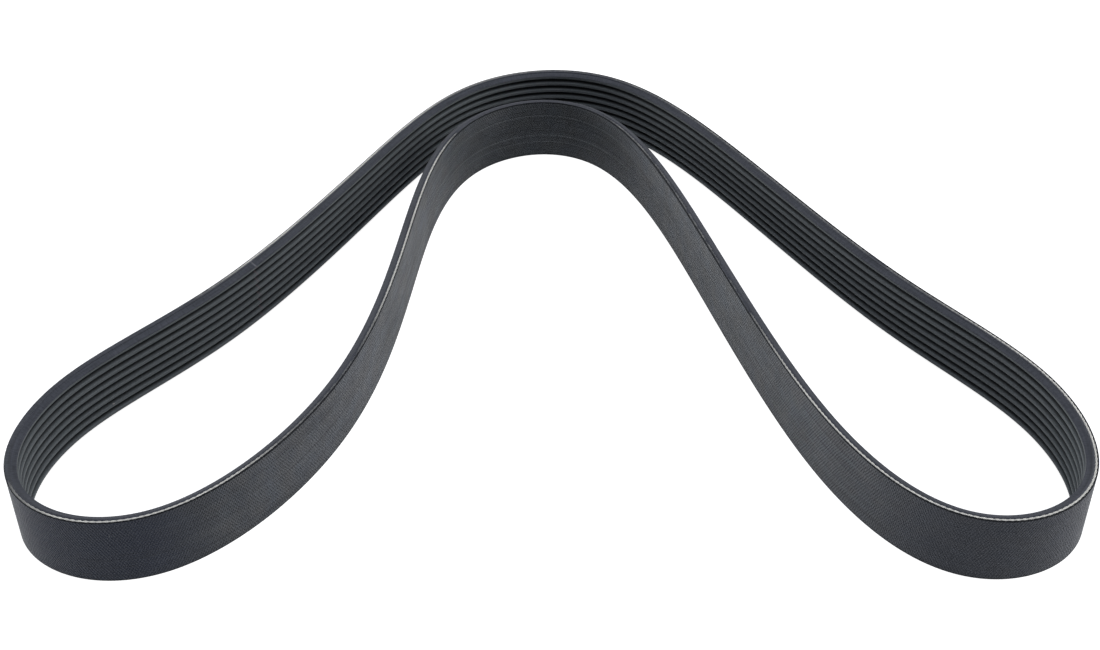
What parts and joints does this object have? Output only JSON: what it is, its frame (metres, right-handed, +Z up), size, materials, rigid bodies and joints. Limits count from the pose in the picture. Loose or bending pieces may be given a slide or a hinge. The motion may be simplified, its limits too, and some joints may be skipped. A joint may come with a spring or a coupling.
{
  "type": "serpentine belt",
  "caption": "Endless multi-ribbed rubber drive belt standing on its edge in a folded boomerang loop, ribs on the inside and a fabric-faced back outside.",
  "frame": {"origin": "middle of the loop's box, on the surface that the belt stands on", "axes": "+X along the loop's longest extent, to the right when seen from the front; +Y from the two front bends towards the crown of the back strand; +Z up, across the belt's width"},
  "size_m": [0.386, 0.2986, 0.0285],
  "materials": {
    "rubber": "matt blue-black rubber, with ground ribs, cut edges and a fine fabric imprint on the back"
  },
  "bodies": {
    "root": {"belt": "rubber"}
  },
  "joints": []
}
